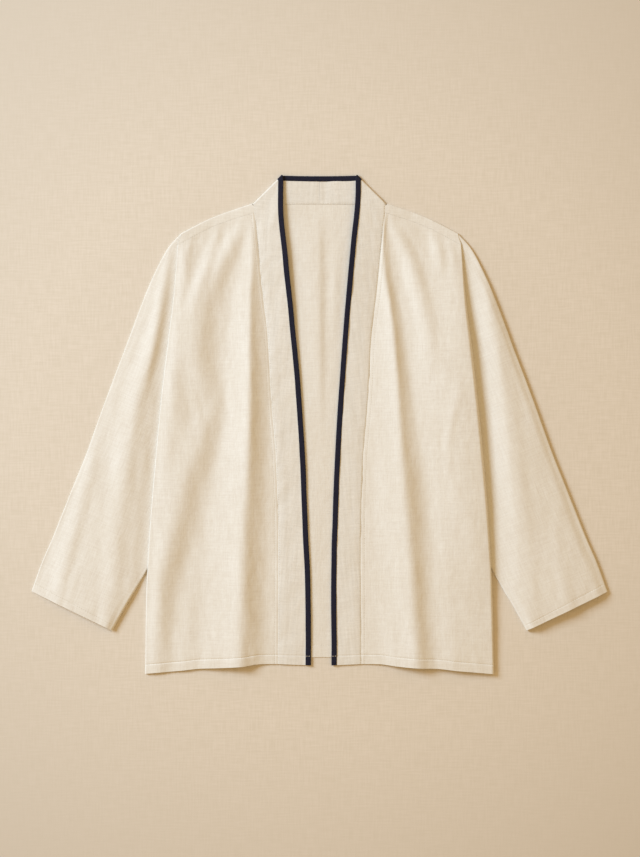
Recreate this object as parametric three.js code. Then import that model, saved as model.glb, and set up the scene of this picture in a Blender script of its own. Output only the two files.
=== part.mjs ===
// A collarless open kimono shirt of undyed linen and cotton, laid flat on its back.
// Its front bands and the low stand behind the neck are one strip bound in navy.
// Millimetres. X runs across the shirt, Y from hem to neck, Z up from the surface it lies on.
// Outlines are given for one half: x is the distance from the centre line.
import * as THREE from 'three';

// ---- Driving dimensions ----
const CLOTH_WALL = 1.0;
const BAND_WALL = 1.6;
const SEAM_GAP = 0.3;
const BAND_GAP = 0.5;
const LAYER_GAP = 0.5;
const SLEEVE_ROLL = 1.0;
const SHOULDER_TURN = 12;
const BACK_HEM = -331;
const NECK_SEAM = 311.8;
const NECK_SEAM_DIP = 3.0;
const STAND_TOP = 354.2;
const NECK_CORNER = 94.6;
const SHOULDER_START = 96.4;
const BINDING_REACH = 8.0;
const BINDING_HALF = 1.7;
const BAND_INSET = BINDING_HALF + CLOTH_WALL / 2;

// The band turns over from the stand to the front on a slanting line between these levels.
const NECK_TURN = { seamY: 309.5, edgeX: 52.0, edgeY: 349.5 };
// After the turn its free edge settles into the opening's line within this share of its length.
const TURN_SETTLES = { within: 0.25, power: 4 };

// Levels of a front panel's four corners.
const FRONT_CORNERS = { bandTop: 297, sideTop: 254, bandHem: -340, sideHem: -350 };
// Folds grow to their full height within this distance of the shoulder.
const FOLDS_GROW = 36;
// A sleeve starts to rise this far outside the body's side edge, over this width.
const SLEEVE_RISE = { from: 2, over: 25 };

const NATURAL = { color: '#e3d8c3', roughness: 0.92, metalness: 0 };
const NAVY = { color: '#1f2238', roughness: 0.88, metalness: 0 };

// ---- Outlines, one row for each measured level ----
const SHOULDER_LINE = { from: 95, to: 204, y: [313, 293.8, 266.4] };

const SIDE_EDGE = [
  { y: 262, x: 200.5 }, { y: 176, x: 207 }, { y: 119, x: 214 }, { y: 34, x: 224 },
  { y: -51, x: 232 }, { y: -165, x: 241 }, { y: -250, x: 245 }, { y: -354, x: 247 },
];

// The armhole down to y -20, then the side seam.
const BACK_EDGE = [
  { y: 270, x: 196 }, { y: -20, x: 197 }, { y: -80, x: 208.5 }, { y: -140, x: 221 },
  { y: -207, x: 229.5 }, { y: -250, x: 233.5 }, { y: -354, x: 240 },
];
const BACK_HALF_TOP = BACK_EDGE[0].x - SEAM_GAP / 2;

const FRONT_HEM = [
  { x: 14, y: -342.4 }, { x: 57, y: -340.6 }, { x: 84, y: -340.6 }, { x: 110, y: -343.5 },
  { x: 142, y: -345.8 }, { x: 170, y: -347 }, { x: 198, y: -350 }, { x: 222, y: -352 },
  { x: 247, y: -354.2 },
];

const BAND_SEAM = [
  { y: 311, x: 93.4 }, { y: 274, x: 89.6 }, { y: 186, x: 80.9 }, { y: 128, x: 73.7 },
  { y: 27, x: 67.9 }, { y: -52, x: 61.5 }, { y: -169, x: 58.4 }, { y: -342, x: 59 },
];

const OPENING_EDGE = [
  { y: 349, left: 52.4, right: 51.8 }, { y: 334, left: 52.4, right: 50.8 },
  { y: 232, left: 44.2, right: 41.9 }, { y: 136, left: 34.4, right: 33.8 },
  { y: 34, left: 25.4, right: 26.6 }, { y: -60, left: 19.6, right: 21.4 },
  { y: -134, left: 17.0, right: 18.4 }, { y: -240, left: 12.6, right: 16.2 },
  { y: -343, left: 12.0, right: 17.2 },
];

// Each row is one section of a sleeve, from its under seam to its top fold.
const SLEEVE_SECTIONS = [
  { topX: 196.4, topY: 270.2, underX: 197.7, underY: -20 },
  { topX: 214, topY: 250.5, underX: 202.5, underY: -42 },
  { topX: 236, topY: 209, underX: 207.8, underY: -68 },
  { topX: 256, topY: 160, underX: 213.7, underY: -97 },
  { topX: 276, topY: 106, underX: 220.5, underY: -130 },
  { topX: 294, topY: 59, underX: 228, underY: -161 },
  { topX: 312, topY: 10, underX: 236.5, underY: -188 },
  { topX: 330, topY: -40, underX: 246, underY: -209 },
  { topX: 346, topY: -80, underX: 254.5, underY: -224 },
  { topX: 362, topY: -120, underX: 263, underY: -239 },
  { topX: 378, topY: -160, underX: 271.5, underY: -253 },
  { topX: 393.5, topY: -196, underX: 281, underY: -270 },
  { topX: 408.5, topY: -237.4, underX: 293.5, underY: -292.7 },
];

// ---- Heights of the layers, at the middle of each wall ----
const BACK_HEIGHT = CLOTH_WALL / 2;
const SLEEVE_TOP_HEIGHT = BACK_HEIGHT + 2 * SLEEVE_ROLL;
const FRONT_REST = BACK_HEIGHT + CLOTH_WALL + LAYER_GAP;
const TUCK_HEIGHT = SLEEVE_TOP_HEIGHT + CLOTH_WALL + LAYER_GAP;

// The front's side edge, and the tuck that turns under from it.
const SIDE_HEIGHT = [
  { y: 262, edge: 5.6, tuck: TUCK_HEIGHT }, { y: 180, edge: 8, tuck: TUCK_HEIGHT },
  { y: 90, edge: 9.5, tuck: TUCK_HEIGHT }, { y: 20, edge: 9.5, tuck: TUCK_HEIGHT },
  { y: -60, edge: 8.5, tuck: TUCK_HEIGHT }, { y: -165, edge: 8, tuck: TUCK_HEIGHT },
  { y: -215, edge: 7.4, tuck: TUCK_HEIGHT }, { y: -268, edge: 4.4, tuck: BACK_HEIGHT },
  { y: -354, edge: 3.9, tuck: BACK_HEIGHT },
];
const SIDE_SLOPE = 70;

// The band lies highest beside the neck, where it turns over into the stand.
const BAND_HEIGHT = [
  { y: 352, seam: 4.8, edge: 8.3 }, { y: 300, seam: 4.7, edge: 8.2 },
  { y: 250, seam: 3.9, edge: 7.4 }, { y: 200, seam: 3.0, edge: 6.0 },
  { y: 120, seam: 2.4, edge: 4.3 }, { y: 60, seam: 2.4, edge: 3.8 },
  { y: -343, seam: 2.4, edge: 3.8 },
];
const STAND_HEIGHT = { seam: BAND_WALL / 2, edge: BINDING_HALF + CLOTH_WALL / 2 + SEAM_GAP };
const NECK_SLOPE = 60;

// ---- Folds: soft ridges running from one level to another ----
// x, width and height are each given at the start, middle and end of the ridge.
const FRONT_FOLDS = [
  { side: 'left', from: 290, to: -345, x: [97, 104, 113], width: [18, 36, 58], height: [2.5, 6, 8] },
  { side: 'left', from: 280, to: -200, x: [128, 172, 222], width: [22, 34, 34], height: [3, 5, 2] },
  { side: 'left', from: 262, to: 180, x: [187, 193, 196], width: [12, 12, 12], height: [1.5, 1, 0] },
  { side: 'left', from: 275, to: 170, x: [146, 161, 178], width: [14, 16, 18], height: [2, 2, 0] },
  { side: 'right', from: 290, to: -345, x: [93, 111, 131], width: [18, 34, 56], height: [2, 5.5, 8] },
  { side: 'right', from: 285, to: 60, x: [101, 133, 155], width: [18, 24, 24], height: [3, 2.5, 0] },
  { side: 'right', from: 275, to: 190, x: [155, 165, 170], width: [14, 16, 16], height: [2, 1.5, 0] },
];

const SLEEVE_FOLDS = [
  { side: 'left', from: 225, to: -240, x: [225, 266, 292], width: [18, 28, 26], height: [2, 4.5, 2.5] },
  { side: 'left', from: -35, to: -260, x: [323, 345, 375], width: [18, 18, 18], height: [0.5, 2.5, 2] },
  { side: 'right', from: 150, to: -240, x: [242, 264, 288], width: [14, 18, 18], height: [2, 3.5, 3] },
  { side: 'right', from: -150, to: -270, x: [329, 337, 346], width: [16, 16, 16], height: [1, 2, 2] },
];
const SLEEVE_CROWN = 3.2;

// ---- Grid fineness ----
const FRONT_ROWS = 23;
const FRONT_COLUMNS = 12;
const TUCK_COLUMNS = 2;
const BACK_LEVELS = [BACK_HEM, -250, -207, -140, -80, -20, 90, 200];
const NECK_COLUMNS = 3;
const SHOULDER_COLUMNS = 6;
const ROLL_STEPS = 4;
const SHOULDER_ROWS = 2;
const SLEEVE_UNDER_COLUMNS = 4;
const SLEEVE_TOP_COLUMNS = 9;
const BAND_COLUMNS = 3;
const STAND_STATIONS = 4;
const BAND_TURN_STEPS = 6;
const BAND_STATIONS = 18;
const BINDING_ARC_STEPS = 4;

// ---- Small helpers ----
const steps = (count) => Array.from({ length: count + 1 }, (_, k) => k / count);
const mix = (a, b, t) => a + (b - a) * t;
const smooth = (t) => THREE.MathUtils.smoothstep(t, 0, 1);

// A named column of a table at a value of its key, straight between rows.
function lookup(rows, key, value, column) {
  const falling = rows[0][key] > rows[rows.length - 1][key];
  const order = falling ? -1 : 1;
  if (order * value <= order * rows[0][key]) return rows[0][column];
  for (let k = 1; k < rows.length; k++) {
    const a = rows[k - 1];
    const b = rows[k];
    if (order * value <= order * b[key]) {
      return mix(a[column], b[column], (value - a[key]) / (b[key] - a[key]));
    }
  }
  return rows[rows.length - 1][column];
}

// The curve through three values at t = 0, 1/2 and 1.
function throughThree([start, middle, end], t) {
  return start * (1 - t) * (1 - 2 * t) + middle * 4 * t * (1 - t) + end * t * (2 * t - 1);
}

function foldHeight(folds, side, x, y) {
  let height = 0;
  for (const fold of folds.filter((row) => row.side === side)) {
    const t = THREE.MathUtils.clamp((fold.from - y) / (fold.from - fold.to), 0, 1);
    const across = Math.abs(x - throughThree(fold.x, t)) / throughThree(fold.width, t);
    if (across < 1) height += throughThree(fold.height, t) * Math.cos((across * Math.PI) / 2) ** 2;
  }
  return height;
}

// ---- Where the pieces run ----
const sideEdge = (y) => lookup(SIDE_EDGE, 'y', y, 'x');
const backEdge = (y) => lookup(BACK_EDGE, 'y', y, 'x');
const bandSeam = (y) => lookup(BAND_SEAM, 'y', y, 'x');
const tuckHeight = (y) => lookup(SIDE_HEIGHT, 'y', y, 'tuck');
const shoulderLine = (x) =>
  throughThree(SHOULDER_LINE.y, (x - SHOULDER_LINE.from) / (SHOULDER_LINE.to - SHOULDER_LINE.from));
const neckSeam = (x) => NECK_SEAM - NECK_SEAM_DIP * (x / SHOULDER_START) ** 2;

// The front rests on the back, lifts over the sleeve at its side and beside the neck.
function frontHeight(side, x, y) {
  const tuckWidth = sideEdge(y) - backEdge(y);
  const inward = (sideEdge(y) - x - tuckWidth / 2) / (SIDE_SLOPE + tuckWidth / 2);
  const lift = (lookup(SIDE_HEIGHT, 'y', y, 'edge') - FRONT_REST) * (1 - smooth(inward));
  const neck = lookup(BAND_HEIGHT, 'y', y, 'seam') - BAND_HEIGHT[BAND_HEIGHT.length - 1].seam;
  const besideNeck = neck * (1 - smooth((x - bandSeam(y)) / NECK_SLOPE));
  const shoulder = smooth((shoulderLine(x) - y) / FOLDS_GROW);
  return FRONT_REST + Math.max(lift, besideNeck) + shoulder * foldHeight(FRONT_FOLDS, side, x, y);
}

// The shoulder fold belongs to the back, which comes over it to a seam on the front.
function shoulderRoll(side, x) {
  const seam = shoulderLine(x) - SHOULDER_TURN;
  return (frontHeight(side, x, seam) - BACK_HEIGHT) / 2;
}

const shoulderFold = (side, x) => shoulderLine(x) - shoulderRoll(side, x) - CLOTH_WALL / 2;
const shoulderSeam = (side, x) => shoulderFold(side, x) - SHOULDER_TURN;

// ---- Cloth ----
// Closes a wall around a grid of middle points. Cells that covered() leaves out stay open.
function clothSolid(grid, wall, covered = () => true) {
  const columns = grid[0].length;
  const points = grid.flat();
  const normals = points.map(() => new THREE.Vector3());
  const faces = [];
  const edges = new Map();
  for (let i = 0; i + 1 < grid.length; i++) {
    for (let j = 0; j + 1 < columns; j++) {
      if (!covered(i, j)) continue;
      const a = i * columns + j;
      const corners = [a, a + columns, a + columns + 1, a + 1];
      const [p, q, r, s] = corners.map((k) => points[k]);
      const facing = r.clone().sub(p).cross(s.clone().sub(q)).normalize();
      corners.forEach((k) => normals[k].add(facing));
      faces.push([corners[0], corners[1], corners[2]], [corners[0], corners[2], corners[3]]);
      corners.forEach((k, n) => {
        const next = corners[(n + 1) % 4];
        if (!edges.delete(`${next},${k}`)) edges.set(`${k},${next}`, [k, next]);
      });
    }
  }
  return closedGeometry(points, normals, wall, faces, [...edges.values()]);
}

function closedGeometry(points, normals, wall, faces, rim) {
  const position = [];
  const outer = (k) => points[k].clone().addScaledVector(normals[k].clone().normalize(), wall / 2);
  const inner = (k) => points[k].clone().addScaledVector(normals[k].clone().normalize(), -wall / 2);
  const triangle = (...corners) => corners.forEach((v) => position.push(v.x, v.y, v.z));
  for (const [a, b] of rim) {
    triangle(outer(b), outer(a), inner(a));
    triangle(outer(b), inner(a), inner(b));
  }
  for (const [a, b, c] of faces) {
    triangle(outer(a), outer(b), outer(c));
    triangle(inner(a), inner(c), inner(b));
  }
  const geometry = new THREE.BufferGeometry();
  geometry.setAttribute('position', new THREE.Float32BufferAttribute(position, 3));
  geometry.computeVertexNormals();
  return geometry;
}

function piece(name, geometry, look) {
  const mesh = new THREE.Mesh(geometry, new THREE.MeshStandardMaterial(look));
  mesh.name = name;
  return mesh;
}

const sign = (side) => (side === 'left' ? -1 : 1);
const pointOn = (side, x, y, z) => new THREE.Vector3(sign(side) * x, y, z);

// ---- Back panel: flat, with both shoulders turned over to the front ----
function backColumns() {
  const neck = steps(NECK_COLUMNS).map((t) => (t * NECK_CORNER) / BACK_HALF_TOP);
  const shoulder = steps(SHOULDER_COLUMNS).map((t) => mix(SHOULDER_START / BACK_HALF_TOP, 1, t));
  const half = [...neck, ...shoulder];
  return [...half.slice(1).reverse().map((u) => -u), ...half];
}

function shoulderRows(side, u, top) {
  const start = SHOULDER_START / BACK_HALF_TOP;
  const along = THREE.MathUtils.clamp((Math.abs(u) - start) / (1 - start), 0, 1);
  const roll = steps(ROLL_STEPS).slice(1).map((t) => {
    const x = mix(SHOULDER_START, BACK_HALF_TOP, along);
    const radius = shoulderRoll(side, x);
    const angle = t * Math.PI;
    const y = top + radius * Math.sin(angle);
    return pointOn(side, x, y, BACK_HEIGHT + radius * (1 - Math.cos(angle)));
  });
  const flat = steps(SHOULDER_ROWS).slice(1).map((t) => {
    const nearBand = bandSeam(top - t * SHOULDER_TURN) + BAND_GAP / 2;
    const x = mix(nearBand, BACK_HALF_TOP, along);
    const y = shoulderFold(side, x) - t * SHOULDER_TURN;
    return pointOn(side, x, y, frontHeight(side, x, y));
  });
  return [...roll, ...flat];
}

function backPanel() {
  const columns = backColumns();
  const lines = columns.map((u) => {
    const side = u < 0 ? 'left' : 'right';
    const atTop = Math.abs(u) * BACK_HALF_TOP;
    const top = atTop > NECK_CORNER + SEAM_GAP ? shoulderFold(side, atTop) : neckSeam(atTop);
    const flat = [...BACK_LEVELS, top].map((y) => {
      return pointOn(side, Math.abs(u) * (backEdge(y) - SEAM_GAP / 2), y, BACK_HEIGHT);
    });
    return [...flat, ...shoulderRows(side, u, top)];
  });
  const neckCell = (j) => (Math.abs(columns[j] + columns[j + 1]) / 2) * BACK_HALF_TOP < SHOULDER_START;
  const geometry = clothSolid(lines, CLOTH_WALL, (j, i) => i < BACK_LEVELS.length || !neckCell(j));
  return piece('back_panel', geometry, NATURAL);
}

// ---- Front panels: each side edge rolls under to the armhole and the side seam ----
function frontRow(side, t) {
  const across = (u) => {
    const nearTop = mix(bandSeam(FRONT_CORNERS.bandTop), sideEdge(FRONT_CORNERS.sideTop), u);
    const nearHem = mix(bandSeam(FRONT_CORNERS.bandHem), sideEdge(FRONT_CORNERS.sideHem), u);
    return mix(shoulderSeam(side, nearTop) - LAYER_GAP, lookup(FRONT_HEM, 'x', nearHem, 'y'), t);
  };
  const edgeY = across(1);
  const edge = sideEdge(edgeY);
  const edgeHeight = frontHeight(side, edge, edgeY);
  const radius = (edgeHeight - tuckHeight(edgeY)) / 2;
  const rollX = edge - radius - CLOTH_WALL / 2;
  const open = steps(FRONT_COLUMNS).map((u) => {
    const y = across(u);
    const last = sideEdge(y) - radius - CLOTH_WALL / 2;
    const x = mix(bandSeam(y) + BAND_GAP / 2, last, u);
    return pointOn(side, x, y, u === 1 ? edgeHeight : frontHeight(side, x, y));
  });
  const roll = steps(ROLL_STEPS).slice(1).map((turn) => {
    const angle = turn * Math.PI;
    const z = edgeHeight - radius * (1 - Math.cos(angle));
    return pointOn(side, rollX + radius * Math.sin(angle), edgeY, z);
  });
  const tuck = steps(TUCK_COLUMNS).slice(1).map((turn) => {
    const x = mix(rollX, backEdge(edgeY) + SEAM_GAP / 2, turn);
    return pointOn(side, x, edgeY, tuckHeight(edgeY));
  });
  return [...open, ...roll, ...tuck];
}

function frontPanel(side) {
  const rows = steps(FRONT_ROWS).map((t) => frontRow(side, t));
  return piece(`front_panel_${side}`, clothSolid(rows, CLOTH_WALL), NATURAL);
}

// ---- Sleeves: one cloth folded along its top and seamed underneath ----
function sleeveHeight(side, x, y, along) {
  const clear = smooth((x - sideEdge(y) - SLEEVE_RISE.from) / SLEEVE_RISE.over);
  const crown = SLEEVE_CROWN * Math.sin(along * Math.PI);
  return SLEEVE_TOP_HEIGHT + clear * (crown + foldHeight(SLEEVE_FOLDS, side, x, y));
}

function sleeveRing(side, row) {
  const under = new THREE.Vector2(row.underX, row.underY);
  const top = new THREE.Vector2(row.topX, row.topY);
  const width = under.distanceTo(top);
  const inset = SLEEVE_ROLL + CLOTH_WALL / 2;
  const place = (distance, z) => {
    const at = under.clone().lerp(top, distance / width);
    return pointOn(side, at.x, at.y, z);
  };
  const turn = (distance, angle) =>
    place(distance + SLEEVE_ROLL * Math.sin(angle), BACK_HEIGHT + SLEEVE_ROLL * (1 - Math.cos(angle)));
  const lower = steps(SLEEVE_UNDER_COLUMNS).map((t) =>
    place(mix(inset + SEAM_GAP, width - inset, t), BACK_HEIGHT));
  const topFold = steps(ROLL_STEPS).slice(1).map((t) => turn(width - inset, t * Math.PI));
  const upper = steps(SLEEVE_TOP_COLUMNS).slice(1).map((t) => {
    const flat = place(mix(width - inset, inset, t), 0);
    const height = t === 1 ? SLEEVE_TOP_HEIGHT : sleeveHeight(side, Math.abs(flat.x), flat.y, t);
    return flat.setZ(height);
  });
  const underFold = steps(ROLL_STEPS).slice(1).map((t) => turn(inset, Math.PI * (1 + t)));
  return [...lower, ...topFold, ...upper, ...underFold];
}

function sleeve(side) {
  const rings = SLEEVE_SECTIONS.map((row) => sleeveRing(side, row));
  return piece(`sleeve_${side}`, clothSolid(rings, CLOTH_WALL), NATURAL);
}

// ---- Band: from the centre of the stand, over a slanting turn, down to the hem ----
const TURN_SEAM = new THREE.Vector2(bandSeam(NECK_TURN.seamY) - BAND_GAP / 2, NECK_TURN.seamY);
const TURN_EDGE = new THREE.Vector2(NECK_TURN.edgeX, NECK_TURN.edgeY);

const openingEdge = (side, y) => lookup(OPENING_EDGE, 'y', y, side) + BAND_INSET;

function standStation(side, t) {
  const seamX = mix(SEAM_GAP / 2, TURN_SEAM.x, t);
  const edgeX = mix(SEAM_GAP / 2, TURN_EDGE.x, t);
  return {
    seam: pointOn(side, seamX, neckSeam(seamX) + SEAM_GAP, STAND_HEIGHT.seam),
    edge: pointOn(side, edgeX, mix(STAND_TOP - BAND_INSET, TURN_EDGE.y, t * t), STAND_HEIGHT.edge),
  };
}

function turnStation(side, t) {
  const top = BAND_HEIGHT[0];
  const out = new THREE.Vector2(TURN_SEAM.y - TURN_EDGE.y, TURN_EDGE.x - TURN_SEAM.x).negate().normalize();
  const corner = (at, low, high) => {
    const radius = (high - low) / 2;
    const reach = radius * Math.sin(t * Math.PI);
    const z = low + radius * (1 - Math.cos(t * Math.PI));
    return pointOn(side, at.x + reach * out.x, at.y + reach * out.y, z);
  };
  return {
    seam: corner(TURN_SEAM, STAND_HEIGHT.seam, top.seam),
    edge: corner(TURN_EDGE, STAND_HEIGHT.edge, top.edge),
  };
}

function frontStation(side, t) {
  const seamHem = lookup(FRONT_HEM, 'x', bandSeam(FRONT_CORNERS.bandHem), 'y');
  const seamY = mix(TURN_SEAM.y, seamHem, t);
  const edgeY = mix(TURN_EDGE.y, lookup(FRONT_HEM, 'x', 0, 'y'), t);
  const nearTurn = (1 - smooth(t / TURN_SETTLES.within)) ** TURN_SETTLES.power;
  const edgeX = mix(openingEdge(side, edgeY), TURN_EDGE.x, nearTurn);
  return {
    seam: pointOn(side, bandSeam(seamY) - BAND_GAP / 2, seamY, lookup(BAND_HEIGHT, 'y', seamY, 'seam')),
    edge: pointOn(side, edgeX, edgeY, lookup(BAND_HEIGHT, 'y', edgeY, 'edge')),
  };
}

function bandStations(side) {
  return [
    ...steps(STAND_STATIONS).map((t) => standStation(side, t)),
    ...steps(BAND_TURN_STEPS).slice(1).map((t) => turnStation(side, t)),
    ...steps(BAND_STATIONS).slice(1).map((t) => frontStation(side, t)),
  ];
}

function bandHalf(side) {
  const rows = bandStations(side).map(({ seam, edge }) =>
    steps(BAND_COLUMNS).map((u) => seam.clone().lerp(edge, u)));
  return piece(`band_${side}`, clothSolid(rows, BAND_WALL), NATURAL);
}

// ---- Binding: a bias strip folded round the band's edge ----
function bindingSection({ seam, edge }, along) {
  const inward = seam.clone().sub(edge).normalize();
  const normal = along.clone().cross(inward).normalize();
  const at = (depth, height) => edge.clone().addScaledVector(inward, depth).addScaledVector(normal, height);
  const leg = BINDING_REACH - BAND_INSET;
  const arc = steps(BINDING_ARC_STEPS).map((t) => {
    const angle = t * Math.PI;
    return at(-BINDING_HALF * Math.sin(angle), -BINDING_HALF * Math.cos(angle));
  });
  return [at(leg, -BINDING_HALF), ...arc, at(leg, BINDING_HALF)];
}

function bindingHalf(side) {
  const stations = bandStations(side);
  const rows = stations.map((station, k) => {
    const before = stations[Math.max(k - 1, 0)].edge;
    const after = stations[Math.min(k + 1, stations.length - 1)].edge;
    return bindingSection(station, after.clone().sub(before));
  });
  return piece(`binding_${side}`, clothSolid(rows, CLOTH_WALL), NAVY);
}

// ---- The shirt ----
const shirt = new THREE.Group();
shirt.add(backPanel());
for (const side of ['left', 'right']) {
  shirt.add(frontPanel(side), sleeve(side), bandHalf(side), bindingHalf(side));
}

export default shirt;
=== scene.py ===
"""A collarless open kimono shirt of undyed slub linen and cotton, laid flat on its back.

Tables are in millimetres: X across the shirt, Y from hem to neck, Z up from the surface.
Outlines give half a shirt, x from the centre line; folds give the real X, left being -X.
"""
import math

import bpy
import numpy as np
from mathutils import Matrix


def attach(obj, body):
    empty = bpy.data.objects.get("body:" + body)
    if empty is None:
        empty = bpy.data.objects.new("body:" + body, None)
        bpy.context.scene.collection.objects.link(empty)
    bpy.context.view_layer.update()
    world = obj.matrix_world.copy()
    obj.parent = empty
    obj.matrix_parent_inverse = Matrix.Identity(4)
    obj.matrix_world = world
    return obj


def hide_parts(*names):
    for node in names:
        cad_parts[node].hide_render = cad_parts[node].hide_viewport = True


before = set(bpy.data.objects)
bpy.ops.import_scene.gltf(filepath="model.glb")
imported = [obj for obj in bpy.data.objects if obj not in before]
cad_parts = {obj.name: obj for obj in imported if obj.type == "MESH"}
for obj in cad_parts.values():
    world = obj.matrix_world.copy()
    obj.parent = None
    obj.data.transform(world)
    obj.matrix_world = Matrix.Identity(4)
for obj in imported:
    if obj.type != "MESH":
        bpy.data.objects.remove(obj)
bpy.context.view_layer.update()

MM = 0.001
SIDES = {"left": -1, "right": 1}

# ---- Thickness of the cloth, gaps between pieces, and heights of their middles at rest ----
CLOTH = 0.6
BAND_CLOTH = 1.0
TAPE = 0.45
SEAM_GAP = 0.12
BAND_GAP = 0.14
LAYER_GAP = 0.14
LOWEST = 0.08
BACK_REST = 0.5
FRONT_REST = 1.5
# Radii of a sleeve's rolls: the first two at the armhole, the others where it lies free.
SLEEVE_ROLL = 0.8
SLEEVE_HEAD_ROLL = {"left": 0.9, "right": 1.35}
SLEEVE_UNDER_ROLL = 2.3
SLEEVE_FOLD_ROLL = {"left": 0.6, "right": 2.0}
SLEEVE_EDGE_RISE = {"left": 0.5, "right": 2.8}
SLEEVE_FOLD_SHARE = {"left": 0.55, "right": 0.6}

# ---- Outlines of half a shirt ----
BACK_HEM = -331
NECK_SEAM = 311.8
NECK_SEAM_DIP = 1.6
STAND_MIDDLE = 350.6
NECK_CORNER = 94.6
SHOULDER_START = 95.6
SHOULDER_END = 196.3
SHOULDER_TURN = 12
# The back's strip over the shoulder gets this much wider towards its seam.
STRIP_WIDENS = 4.2
BINDING_REACH = 7.5
BINDING_HALF = 0.85
BAND_INSET = BINDING_HALF + TAPE / 2
# Share of the tape's roundness that is left where it turns a corner.
CORNER_WRAP = 0.35
FRONT_CORNERS = {"band_top": 297, "side_top": 254, "band_hem": -340, "side_hem": -350}
BAND_HEM = -343
BAND_TOP = 352
BAND_WIDTH = 44
EDGE_AT_HEM = 14
NECK_TURN = {"seam_y": 310.9, "edge_x": 52.0, "edge_y": 351.7}

SHOULDER_LINE = [(95, 313), (149.5, 293.8), (204, 266.4)]
SIDE_EDGE = [(262, 200.5), (176, 207), (119, 214), (34, 224), (-51, 232), (-165, 241),
             (-250, 245), (-354, 247)]
BACK_EDGE = [(270, 196), (-20, 197), (-80, 208.5), (-140, 221), (-207, 229.5),
             (-250, 233.5), (-354, 240)]
FRONT_HEM = [(14, -342.4), (57, -340.6), (84, -340.6), (110, -343.5), (142, -345.8),
             (170, -347), (198, -350), (222, -352), (247, -354.2)]
BAND_SEAM = [(311, 93.4), (274, 89.6), (186, 80.9), (128, 73.7), (27, 67.9), (-52, 61.5),
             (-169, 58.4), (-342, 59)]
OPENING = {
    "left": [(349, 52.4), (334, 52.4), (232, 44.2), (136, 34.4), (34, 25.4), (-60, 19.6),
             (-134, 17.0), (-240, 12.6), (-343, 12.0)],
    "right": [(349, 51.8), (334, 50.8), (232, 41.9), (136, 33.8), (34, 26.6), (-60, 21.4),
              (-134, 18.4), (-240, 16.2), (-343, 17.2)],
}
# Sections of a sleeve from armhole to cuff: top fold x, y and under seam x, y.
SLEEVE_SECTIONS = [
    (196.4, 270.2, 197.7, -20), (214, 250.5, 202.5, -42), (236, 209, 207.8, -68),
    (256, 160, 213.7, -97), (276, 106, 220.5, -130), (294, 59, 228, -161),
    (312, 10, 236.5, -188), (330, -40, 246, -209), (346, -80, 254.5, -224),
    (362, -120, 263, -239), (378, -160, 271.5, -253), (393.5, -196, 281, -270),
    (408.5, -237.4, 293.5, -292.7),
]

# ---- Heights: y, value. TUCK is where a front's edge lies once it has rolled under ----
SIDE_LIFT = {
    "left": [(262, 3.5), (240, 4.8), (180, 6.8), (90, 7.8), (20, 7.8), (-60, 7.4), (-165, 7.0),
             (-215, 6.4), (-268, 5.2), (-354, 4.4)],
    "right": [(262, 3.5), (240, 5.4), (180, 9.2), (90, 13.2), (20, 14.0), (-60, 12.6), (-165, 10.4),
              (-215, 9.0), (-268, 7.2), (-354, 5.8)],
}
SIDE_SLOPE = {"left": 46, "right": 96}
SIDE_FALL = {"left": (1.0, 20), "right": (0.1, 11)}
SIDE_FOLD_KEPT = 0.8
TUCK = [(262, 2.8), (240, 3.4), (-205, 3.4), (-262, 0.5), (-354, 0.5)]
BAND_SEAM_LIFT = [(352, 3.3), (300, 3.2), (250, 2.5), (200, 1.9), (120, 1.45), (-343, 1.45)]
BAND_EDGE_LIFT = [(352, 4.2), (325, 5.0), (290, 5.6), (240, 5.6), (190, 4.9), (120, 3.5), (60, 2.7),
                  (-60, 2.3), (-343, 2.2)]
STAND_LIFT = {"seam": 0.75, "edge": 1.4}
STAND_DIMPLE = {"x": 8, "half": 4.5, "depth": 0.5}
NECK_SLOPE = 60
FOLDS_GROW = 34
FOLDS_AT_SIDE = {"share": 0.35, "over": 26}
SLEEVE_CROWN = 2.2
SLEEVE_RISE = {"left": (2, 22), "right": (6, 34)}

# ---- Folds. Each row: y, X of the crest, reach to -X, reach to +X, height ----
FRONT_CRESTS = {
    "left": [(290, -95, 10, 8, 0.8), (233, -95, 18, 14, 3.2), (176, -98, 28, 20, 5.4),
             (105, -98.5, 36, 25, 7.8), (34, -98.5, 38, 28, 9.6), (-80, -102, 50, 31, 10.4),
             (-165, -106, 60, 33, 10.8), (-250, -109, 66, 36, 11.2), (-356, -112, 70, 38, 11.4)],
    "right": [(290, 91, 5, 6, 0.8), (246, 91, 8, 9, 2.8), (219, 92, 10, 11, 3.8),
              (176, 99, 18, 15, 5.6), (126, 105, 28, 18, 7.4), (77, 109, 38, 21, 8.6),
              (30, 112, 44, 25, 9.4), (-37, 117, 50, 29, 10.2), (-108, 123, 56, 34, 11.0),
              (-179, 129, 62, 38, 11.4), (-250, 134, 68, 38, 11.6), (-356, 141, 72, 38, 11.6)],
}
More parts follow.
